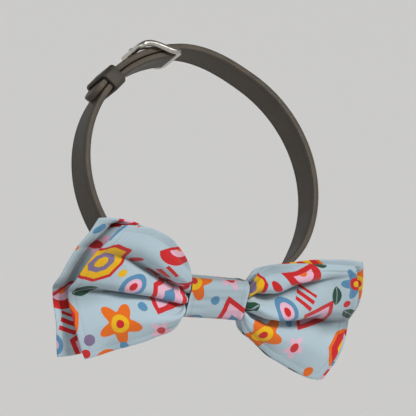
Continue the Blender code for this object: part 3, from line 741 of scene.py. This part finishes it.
def buckle_metal():
    """Frame of round wire, flat at the base layer's end and raised over the tongue, and its pin."""
    wire = BUCKLE_WIRE / 2
    side = STRAP_WIDTH / 2 + 2 * GAP + wire
    bar = -(GAP + wire)
    far = bar + BUCKLE_LENGTH
    high = LAYER + STRAP_THICK / 2 + GAP + wire + BUCKLE_LIFT
    path = []
    for along, across in joined_arcs(box_arcs(bar, far, -side, side, BUCKLE_CORNER, 10), 13, 11):
        climb = float(ease((along - bar - wire) / (far - bar - 2.5 * wire)))
        path.append(at_back(along, across, high * climb))
    path = np.array(path)
    tangent = np.roll(path, -1, axis=0) - np.roll(path, 1, axis=0)
    tangent /= np.linalg.norm(tangent, axis=1)[:, None]
    out = path - path.mean(axis=0)
    out -= tangent * np.sum(out * tangent, axis=1)[:, None]
    out /= np.linalg.norm(out, axis=1)[:, None]
    turn = np.arange(WIRE_SIDES)[None, :, None] * 2 * math.pi / WIRE_SIDES
    around = np.cos(turn) * out[:, None] + np.sin(turn) * np.cross(tangent, out)[:, None]
    points = list((path[:, None] + wire * WIRE_SHARE * around).reshape(-1, 3))
    start = len(points)
    for share in np.linspace(0, 1, PIN_RINGS):
        along = far + wire / 3 - share * PIN_LENGTH
        height = high + PIN_RISE - PIN_FALL * share * share
        radius = (PIN_RADIUS - PIN_TAPER * share) * (PIN_TIP if share == 1 else 1.0)
        points += [at_back(along, a, height + b)
                   for a, b in corner_arc((0, 0), radius, 0.0, 2 * math.pi, PIN_SIDES)[:-1]]
    quads = [grid_quads(len(path), WIRE_SIDES, ring=True),
             grid_quads(PIN_RINGS, PIN_SIDES, start, closed=True)]
    caps = [range(start, start + PIN_SIDES), range(len(points) - 1, len(points) - 1 - PIN_SIDES, -1)]
    obj = make_mesh("buckle_metal", points, np.concatenate(quads), None, caps)
    obj.data.set_sharp_from_angle(angle=math.radians(60))
    return obj


def keeper_leather():
    """Loop round both layers of the strap."""
    inner_half = STRAP_WIDTH / 2 + GAP
    low = -STRAP_THICK / 2 - GAP
    high = LAYER + STRAP_THICK / 2 + GAP
    middle = OVERLAP - KEEPER_BACK + KEEPER_WIDTH / 2
    wall = bar_outline(KEEPER_WIDTH, KEEPER_WALL, KEEPER_EDGE)
    points = []
    for part, wide in wall:
        grow = KEEPER_WALL / 2 + wide
        half = inner_half + grow
        ring = joined_arcs(box_arcs(-half, half, low - grow, high + grow, KEEPER_ROUND + grow, 7))
        points += [at_back(middle + part, across, height) for across, height in ring]
    return make_mesh("keeper_leather", points, grid_quads(len(wall), len(points) // len(wall), ring=True))


class Nodes:
    """Short way to write a node tree."""

    def __init__(self, tree):
        self.tree = tree

    def new(self, kind, **values):
        node = self.tree.nodes.new(kind)
        for key, value in values.items():
            setattr(node, key, value)
        return node

    def join(self, node, place, value):
        """Links a socket to a node's input, or sets the input to a constant."""
        if isinstance(value, bpy.types.NodeSocket):
            self.tree.links.new(value, node.inputs[place])
        elif value is not None:
            node.inputs[place].default_value = value

    def made(self, node, *values):
        """The node with its first inputs joined to the values."""
        for place, value in enumerate(values):
            self.join(node, place, value)
        return node

    def math(self, operation, a, b=None, c=None, clamp=False):
        node = self.new("ShaderNodeMath", operation=operation, use_clamp=clamp)
        return self.made(node, a, b, c).outputs[0]

    def vector(self, operation, a, b=None, c=None, scalar=False):
        node = self.new("ShaderNodeVectorMath", operation=operation)
        return self.made(node, a, b, c).outputs[1 if scalar else 0]

    def mix(self, share, a, b, blend="MIX"):
        node = self.new("ShaderNodeMix", data_type="RGBA", blend_type=blend)
        for place, value in ((0, share), (6, a), (7, b)):
            self.join(node, place, value)
        return node.outputs[2]

    def below(self, distance, limit, soft=0.00012):
        """1 where distance is under limit, with a soft edge."""
        return self.math("MULTIPLY_ADD", distance, -1.0 / soft, limit / soft + 0.5, clamp=True)

    def uv(self, name):
        return self.new("ShaderNodeUVMap", uv_map=name).outputs[0]

    def noise(self, place, scale, detail=2.0, output="Fac"):
        node = self.new("ShaderNodeTexNoise")
        for name, value in (("Vector", place), ("Scale", scale), ("Detail", detail)):
            self.join(node, name, value)
        return node.outputs[output]

    def parts(self, vector):
        """The three parts of a vector."""
        return list(self.made(self.new("ShaderNodeSeparateXYZ"), vector).outputs)

    def grey(self, value):
        return self.made(self.new("ShaderNodeCombineColor"), value, value, value).outputs[0]

    def bump(self, shader, height, strength, distance):
        node = self.new("ShaderNodeBump")
        for name, value in (("Height", height), ("Strength", strength), ("Distance", distance)):
            self.join(node, name, value)
        self.join(shader, "Normal", node.outputs[0])


# The print, drawn here and not after the photograph's: a repeat of plain flowers, leaves, rings, discs,
# half discs, bars, nested octagon tiles and diamonds. Colours are as the eye sees them, in 0 to 255.
INKS = {
    "ground": (172, 191, 201), "red": (196, 30, 34), "yellow": (226, 176, 14), "green": (26, 72, 52),
    "orange": (222, 104, 16), "pink": (222, 176, 196), "blue": (84, 136, 172), "lilac": (126, 108, 142)}
REPEAT = (0.066, 0.060)
# Each shape, its middle along and across the cloth in mm, its turn in degrees, its size in mm, and its
# inks from the outside in
PRINT = (
    ("tile", 12, 12, 14, 8.6, "orange", "red", "yellow", "red"),
    ("flower", 36, 8, 10, 8.4, "orange", "yellow", "red"),
    ("lattice", 56, 24, 24, 9.2, "red", "pink", "blue"),
    ("tile", 24, 36, -24, 8.2, "red", "yellow", "lilac", "yellow"),
    ("half", 46, 47, 150, 8.0, "red", "pink", "orange"),
    ("flower", 4, 43, 30, 6.6, "blue", "red", "yellow"),
    ("ring", 40, 26, 0, 4.8, "blue", "pink", "red"),
    ("half", 30, 53, -20, 5.4, "orange", "yellow", "red"),
    ("bars", 16, 52, 100, 4.8, "blue"),
    ("flower", 52, 6, 0, 4.8, "pink", "red", "red"),
    ("leaf", 6, 28, 35, 5.2, "green", "ground"),
    ("leaf", 12, 29, 115, 3.8, "green", "ground"),
    ("leaf", 24, 22, -20, 4.8, "green", "ground"),
    ("leaf", 59, 54, -50, 5.0, "green", "ground"),
    ("leaf", 55, 51, 20, 3.6, "green", "ground"),
    ("leaf", 62, 37, 80, 4.0, "green", "ground"),
    ("bars", 48, 34, 20, 3.6, "red"),
    ("dot", 36, 37, 0, 1.9, "red"),
    ("dot", 34, 31, 0, 1.5, "yellow"),
    ("dot", 24, 3, 0, 2.2, "lilac"),
    ("dot", 22, 58, 0, 1.7, "red"),
    ("dot", 0, 0, 0, 2.0, "orange"),
    ("dot", 46, 15, 0, 1.8, "blue"),
    ("dot", 37, 59, 0, 1.6, "blue"),
    ("dot", 2, 34, 0, 1.6, "red"),
    ("dot", 12, 43, 0, 1.5, "yellow"))


def ink(name):
    """Linear colour of an ink."""
    return tuple(((c / 255.0 + 0.055) / 1.055) ** 2.4 if c > 10 else c / 3295.0 for c in INKS[name]) + (1.0,)


def shape_masks(kit, shape, place, size):
    """Where each ink of a shape lies, from the outside in, for a place measured from its middle."""
    def rings(distance, *shares):
        return [kit.below(distance, share * size) for share in shares]

    reach = kit.vector("LENGTH", place, scalar=True)
    if shape == "dot":
        return rings(reach, 1.0)
    if shape == "ring":
        return rings(reach, 1.0, 0.62, 0.30)
    x, y = kit.parts(place)[:2]
    if shape == "flower":
        lobes = kit.math("COSINE", kit.math("MULTIPLY", kit.math("ARCTAN2", y, x), 5.0))
        return rings(kit.math("MULTIPLY_ADD", lobes, -0.24 * size, reach), 0.76) + rings(reach, 0.40, 0.18)
    if shape == "half":
        masks = []
        for inset, rise in ((0.0, 1.0), (0.42, 1.16), (0.72, 1.16)):
            disc = kit.math("ADD", reach, inset * size)
            masks += rings(kit.math("MAXIMUM", disc, kit.math("SUBTRACT", rise * size, y)), 1.0)
        return masks
    across = kit.math("ABSOLUTE", x)
    aside = kit.math("ABSOLUTE", y)
    if shape == "leaf":
        away = kit.made(kit.new("ShaderNodeCombineXYZ"), x, kit.math("ADD", aside, 0.62 * size))
        lens = kit.vector("LENGTH", away.outputs[0], scalar=True)
        vein = kit.math("MULTIPLY", kit.below(lens, 1.10 * size), kit.below(aside, 0.05 * size))
        return rings(lens, 1.18) + [kit.math("MULTIPLY", vein, 0.6)]
    if shape == "lattice":
        return rings(kit.math("MULTIPLY_ADD", aside, 0.75, across), 1.0, 0.74, 0.34)
    square = kit.math("MAXIMUM", across, aside)
    if shape == "bars":
        stripe = kit.math("PINGPONG", kit.math("ADD", y, 10 * size), 0.42 * size)
        return [kit.math("MULTIPLY", kit.below(stripe, 0.24 * size), kit.below(square, size))]
    corner = kit.math("MULTIPLY", kit.math("ADD", across, aside), 0.72)
    return rings(kit.math("MAXIMUM", square, corner), 1.0, 0.84, 0.52, 0.26)


def print_colour(kit, place):
    """Node socket with the print's colour at a cloth place in metres."""
    colour = ink("ground")
    high = (REPEAT[0] / 2, REPEAT[1] / 2, 1.0)
    low = (-REPEAT[0] / 2, -REPEAT[1] / 2, -1.0)
    for shape, along, across, turn, size, *inks in PRINT:
        away = kit.vector("SUBTRACT", place, (along * 0.001, across * 0.001, 0.0))
        wrapped = kit.vector("WRAP", away, high, low)
        if turn:
            node = kit.new("ShaderNodeVectorRotate", rotation_type="Z_AXIS")
            kit.join(node, "Vector", wrapped)
            kit.join(node, "Angle", math.radians(turn))
            wrapped = node.outputs[0]
        for mask, name in zip(shape_masks(kit, shape, wrapped, size * 0.001), inks):
            colour = kit.mix(mask, colour, ink(name))
    return colour


def new_material(name):
    """A new material, its node kit and its shader."""
    mat = bpy.data.materials.new(name)
    mat.use_nodes = True
    return mat, Nodes(mat.node_tree), mat.node_tree.nodes["Principled BSDF"]


def cloth_material(name, shift, seam, tone_and_shade_share, hollow_shade):
    """Printed plain weave with painted shade in its hollows and seam and painted light on its crests and
    folded edge. shift moves the print along and across the cloth.
    """
    mat, kit, shader = new_material(name)
    place = kit.vector("ADD", kit.uv("cloth"), (*shift, 0.0))
    wobble = kit.noise(place, 900.0, output="Color")
    colour = print_colour(kit, kit.vector("MULTIPLY_ADD", wobble, (0.00022, 0.00022, 0.0), place))
    # Threads of the plain weave, and the cloth's slow change of tone
    warp, weft = (kit.math("SINE", kit.math("MULTIPLY", part, 2 * math.pi / 0.00042))
                  for part in kit.parts(place)[:2])
    weave = kit.math("MULTIPLY", warp, weft)
    slub = kit.noise(place, 1700.0, 3.0)
    light = kit.math("MULTIPLY_ADD", slub, 0.16, 0.92)
    light = kit.math("MULTIPLY_ADD", weave, 0.03, light)
    light = kit.math("MULTIPLY_ADD", kit.noise(place, 60.0), 0.10, kit.math("ADD", light, -0.05))
    # Painted shade in the hollows and painted light on the crests, by the fold depth in the map depth
    deep, inward = kit.parts(kit.uv("depth"))[:2]
    hollow = kit.math("MULTIPLY", deep, 0.8, clamp=True)
    crest = kit.math("MULTIPLY", deep, -0.5, clamp=True)
    tone_and_painted_light = kit.math("MULTIPLY_ADD", crest, 0.05, kit.math("MULTIPLY_ADD", hollow, -hollow_shade, light))
    # Painted highlight along the folded edge, and painted shade along the pressed seam inside it
    edge_highlight = kit.math("MULTIPLY_ADD", inward, -1.8, 1.0, clamp=True)
    seam_shade = kit.math("ABSOLUTE", kit.math("SUBTRACT", inward, seam[0] * 1000.0))
    seam_shade = kit.math("MULTIPLY_ADD", seam_shade, -3.0, 1.0, clamp=True)
    tone_and_painted_light = kit.math("MULTIPLY_ADD", edge_highlight, 0.14, tone_and_painted_light)
    tone_and_painted_light = kit.math("MULTIPLY_ADD", seam_shade, -0.13, tone_and_painted_light)
    # The tone and shade share darkens the whole cloth; the band's lower share is painted shade over the knot
    shade = kit.grey(kit.math("MULTIPLY", tone_and_painted_light, tone_and_shade_share))
    kit.join(shader, "Base Color", kit.mix(1.0, colour, shade, "MULTIPLY"))
    kit.join(shader, "Roughness", kit.math("MULTIPLY_ADD", slub, 0.16, 0.74))
    for socket, value in (("Sheen Weight", 0.22), ("Sheen Roughness", 0.5), ("Specular IOR Level", 0.25)):
        kit.join(shader, socket, value)
    kit.bump(shader, kit.math("MULTIPLY_ADD", slub, 0.6, weave), 0.25, 0.00006)
    return mat


def leather_material(name, colour, shine, edges):
    """Grained leather. With edges, the rounded edges of the strap are rubbed paler, unevenly."""
    mat, kit, shader = new_material(name)
    place = kit.new("ShaderNodeTexCoord").outputs["Object"]
    wobble = kit.noise(place, 700.0, output="Color")
    bent = kit.vector("MULTIPLY_ADD", wobble, (0.0006, 0.0006, 0.0006), place)
    grain = kit.new("ShaderNodeTexVoronoi", feature="DISTANCE_TO_EDGE")
    kit.join(grain, "Vector", bent)
    kit.join(grain, "Scale", 1100.0)
    mottle = kit.noise(place, 130.0, 5.0)
    fine = kit.noise(place, 2600.0)
    pores = kit.math("MULTIPLY", grain.outputs["Distance"], 7.0, clamp=True)
    light = kit.math("MULTIPLY_ADD", mottle, 1.1, 0.45)
    light = kit.math("MULTIPLY_ADD", fine, 0.3, kit.math("ADD", light, -0.15))
    light = kit.math("MULTIPLY_ADD", pores, 0.22, kit.math("ADD", light, -0.16))
    if edges:
        across = kit.math("ABSOLUTE", kit.parts(kit.uv("cloth"))[1])
        near = kit.math("MULTIPLY_ADD", across, 2500.0, -14.6, clamp=True)
        light = kit.math("MULTIPLY_ADD", kit.math("MULTIPLY", near, mottle), 0.55, light)
    kit.join(shader, "Base Color", kit.mix(1.0, (*colour, 1.0), kit.grey(light), "MULTIPLY"))
    kit.join(shader, "Roughness", kit.math("MULTIPLY_ADD", mottle, 0.3, shine))
    kit.join(shader, "Specular IOR Level", 0.35)
    kit.bump(shader, kit.math("ADD", pores, kit.math("MULTIPLY", fine, 0.5)), 0.5, 0.00012)
    return mat


def metal_material(name, colour):
    """Satin metal with faint wear."""
    mat, kit, shader = new_material(name)
    wear = kit.noise(kit.new("ShaderNodeTexCoord").outputs["Object"], 500.0, 5.0)
    dull = tuple(part * share for part, share in zip(colour, (0.7, 0.68, 0.64)))
    base = kit.mix(kit.math("MULTIPLY", wear, 0.35), (*colour, 1.0), (*dull, 1.0))
    kit.join(shader, "Metallic", 1.0)
    kit.join(shader, "Base Color", base)
    kit.join(shader, "Roughness", kit.math("MULTIPLY_ADD", wear, 0.2, 0.2))
    kit.bump(shader, wear, 0.1, 0.00003)
    return mat


def set_camera():
    """Camera that sees the bow as the photograph does, framed on FRAME_CENTRE."""
    knot = Vector(-LOOP_CENTRE)
    az, el, roll = VIEW_AZIMUTH, VIEW_ELEVATION, VIEW_ROLL
    back = Vector((math.sin(az) * math.cos(el), -math.cos(az) * math.cos(el), math.sin(el)))
    right = Vector((math.cos(az), math.sin(az), 0.0))
    up = back.cross(right)
    across = right * math.cos(roll) - up * math.sin(roll)
    upward = right * math.sin(roll) + up * math.cos(roll)
    stand = knot + back * VIEW_DISTANCE
    aim = (knot + across * ((FRAME_CENTRE[0] - KNOT_PIXEL[0]) / PIXELS_PER_METRE)
           - upward * ((FRAME_CENTRE[1] - KNOT_PIXEL[1]) / PIXELS_PER_METRE))
    away = (stand - aim).normalized()
    across = (across - away * across.dot(away)).normalized()
    upward = away.cross(across)
    data = bpy.data.cameras.new("view_camera")
    data.sensor_fit = "HORIZONTAL"
    data.sensor_width = SENSOR_MM
    data.lens = SENSOR_MM * VIEW_DISTANCE / (FRAME_PIXELS / PIXELS_PER_METRE)
    data.clip_start = 0.05
    data.clip_end = 20.0
    camera = bpy.data.objects.new("view_camera", data)
    bpy.context.scene.collection.objects.link(camera)
    matrix = Matrix((across, upward, away)).transposed().to_4x4()
    matrix.translation = stand
    camera.matrix_world = matrix
    bpy.context.scene.camera = camera


def soft_sun(name, toward, power, spread, colour):
    """Even light from the direction toward, as soft as a lamp that fills spread degrees of the sky."""
    data = bpy.data.lights.new(name, "SUN")
    data.energy = power
    data.angle = math.radians(spread)
    data.color = colour
    light = bpy.data.objects.new(name, data)
    bpy.context.scene.collection.objects.link(light)
    light.rotation_euler = (-Vector(toward)).to_track_quat("-Z", "Y").to_euler()


def set_stage():
    """Plain pale floor far below, an even studio sky and two soft lights."""
    mesh = bpy.data.meshes.new("floor")
    mesh.from_pydata([(x * FLOOR_REACH, y * FLOOR_REACH, FLOOR_HEIGHT)
                      for x, y in ((-1, -1), (1, -1), (1, 1), (-1, 1))], [], [(0, 1, 2, 3)])
    floor = bpy.data.objects.new("floor", mesh)
    bpy.context.scene.collection.objects.link(floor)
    mat, kit, shader = new_material("floor_paint")
    kit.join(shader, "Base Color", (0.70, 0.70, 0.70, 1.0))
    kit.join(shader, "Roughness", 0.9)
    mesh.materials.append(mat)
    world = bpy.data.worlds.new("studio")
    bpy.context.scene.world = world
    world.use_nodes = True
    sky = world.node_tree.nodes["Background"]
    kit = Nodes(world.node_tree)
    # Pale at the horizon, where it stands behind the object, and dimmer overhead
    upward = kit.parts(kit.new("ShaderNodeTexCoord").outputs["Generated"])[2]
    height = kit.math("MULTIPLY_ADD", upward, 3.0, -0.36, clamp=True)
    kit.join(sky, "Color", kit.mix(height, (0.55, 0.55, 0.545, 1.0), (0.10, 0.103, 0.107, 1.0)))
    kit.join(sky, "Strength", 1.0)
    soft_sun("key", (0.12, -0.60, 0.79), 2.70, 15.0, (1.0, 0.985, 0.965))
    soft_sun("fill", (-0.80, -0.55, 0.30), 0.50, 40.0, (0.94, 0.97, 1.0))
    bpy.context.scene.view_settings.view_transform = "Standard"
    bpy.context.scene.view_settings.look = "None"


set_camera()
set_stage()

strap = strap_leather()
strap_tree = BVHTree.FromPolygons([v.co + Vector(LOOP_CENTRE) for v in strap.data.vertices],
                                  [tuple(p.vertices) for p in strap.data.polygons])
rear, rear_cut, rear_length, rear_tree = bow_cloth("rear_bow_cloth", True, 2, strap_tree, CLEAR_OF_STRAP)
front, front_cut, front_length, _ = bow_cloth("front_bow_cloth", False, 0, rear_tree, CLEAR_OF_REAR)
band, band_length = knot_cloth()
buckle = buckle_metal()
keeper = keeper_leather()

# The last two numbers are the tone and shade share and the painted shade in the hollows. The band's lower
# share paints shade over the whole knot band, and the rear layer's hollows get deeper painted shade than the
# front's
front.data.materials.append(cloth_material("printed_cotton_front", (0.012, 0.024), WING_SEAM, 0.90, 0.44))
rear.data.materials.append(cloth_material("printed_cotton_rear", (0.040, 0.050), WING_SEAM, 0.90, 0.52))
band.data.materials.append(cloth_material("printed_cotton_band", (0.047, 0.006), BAND_SEAM, 0.79, 0.28))
strap.data.materials.append(leather_material("strap_leather_grain", (0.050, 0.040, 0.028), 0.34, True))
keeper.data.materials.append(leather_material("keeper_leather_grain", (0.047, 0.038, 0.027), 0.36, False))
buckle.data.materials.append(metal_material("buckle_satin", (0.62, 0.60, 0.55)))

for piece, node, slot in ((front, "front_bow", "front_cloth"), (rear, "rear_bow", "rear_cloth"),
                          (band, "knot_band", "band_cloth"), (strap, "collar_strap", "strap_leather"),
                          (buckle, "buckle", "buckle_metal"), (keeper, "keeper_loop", "keeper_leather")):
    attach(piece, "root")
    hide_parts(node)

bpy.context.view_layer.update()
